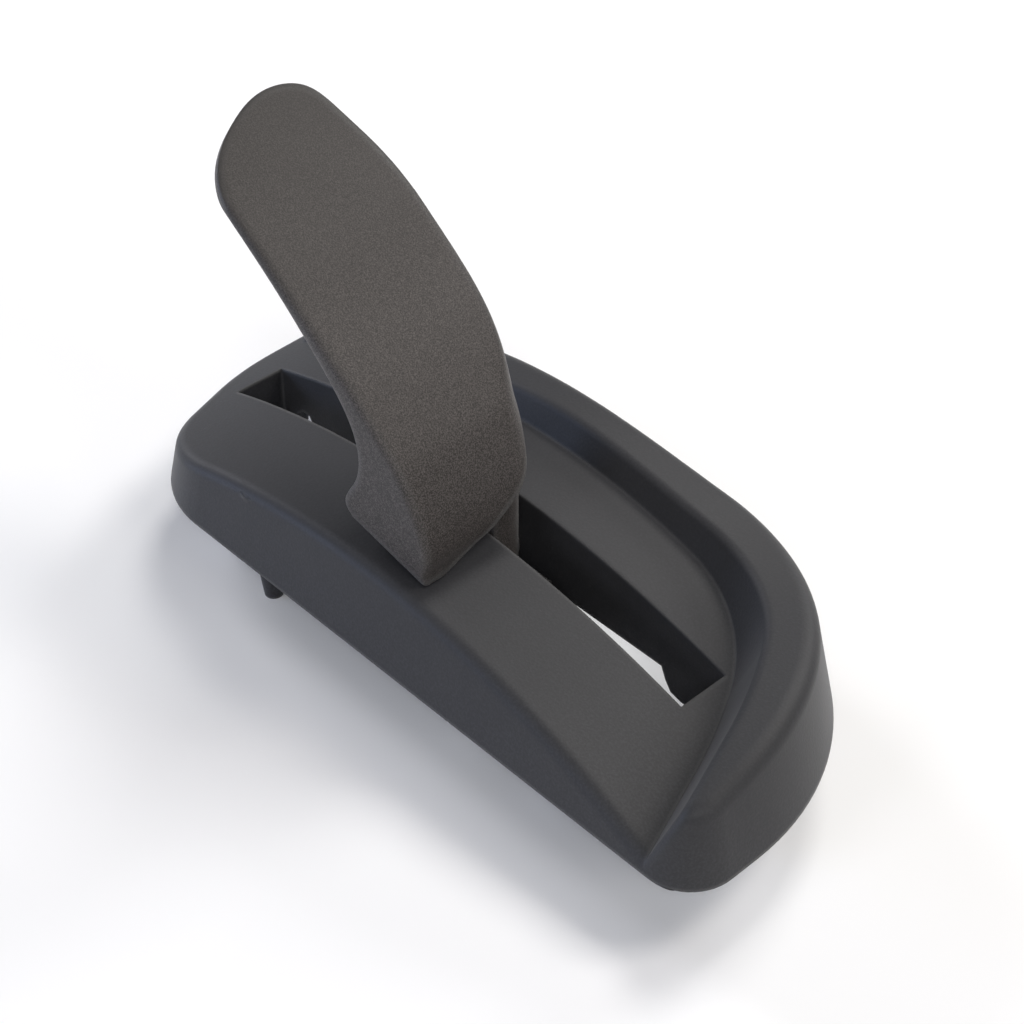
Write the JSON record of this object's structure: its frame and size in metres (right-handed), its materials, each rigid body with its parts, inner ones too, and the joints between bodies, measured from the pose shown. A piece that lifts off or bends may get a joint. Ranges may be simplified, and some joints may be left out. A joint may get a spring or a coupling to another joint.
{
  "type": "car seat release handle",
  "caption": "Car seat release handle: an arched oval trim bezel with a long slot and a curved paddle lever that pivots in it against a return spring.",
  "frame": {"origin": "centre of the slot on the plane of the bezel skirt's bottom edge, the face that seats on the seat's side trim", "axes": "+X along the slot toward the bezel's raised end, +Y across the slot toward the bezel's raised rim, +Z out of the trim toward the paddle"},
  "size_m": [0.1233, 0.052, 0.0736],
  "materials": {
    "bezel_plastic": "charcoal moulded plastic with a fine spark grain",
    "lever_plastic": "charcoal moulded plastic with a fine spark grain, slightly warmer",
    "plated_steel": "zinc plated pressed steel",
    "bright_steel": "ground steel",
    "spring_steel": "oiled spring steel",
    "white_plastic": "natural bearing plastic",
    "soft_rubber": "moulded rubber"
  },
  "bodies": {
    "base": {"bezel": "bezel_plastic", "bush_near": "white_plastic", "bush_far": "white_plastic", "pivot_pin": "bright_steel", "wave_washer": "spring_steel", "thrust_washer": "plated_steel", "retaining_ring": "spring_steel", "return_spring": "spring_steel", "pull_bumper": "soft_rubber", "rest_bumper": "soft_rubber", "cable_bracket": "plated_steel", "bracket_screws": "bright_steel", "conduit_grommet": "soft_rubber", "far_left_clip": "spring_steel", "far_right_clip": "spring_steel", "near_left_clip": "spring_steel", "near_right_clip": "spring_steel"},
    "lever": {"lever_grip": "lever_plastic", "lever_blade": "plated_steel", "blade_dowels": "bright_steel", "cable_eye_bush": "white_plastic"}
  },
  "joints": [
    {"name": "lever_pull", "type": "hinge", "parent": "base", "child": "lever", "pos_m": [0.002, 0, 0.005], "axis": [0, -1, 0], "range_deg": [0, 22], "stiffness_Nm_per_rad": 0.15, "springref_deg": -28.65, "deforming": ["return_spring"]}
  ]
}
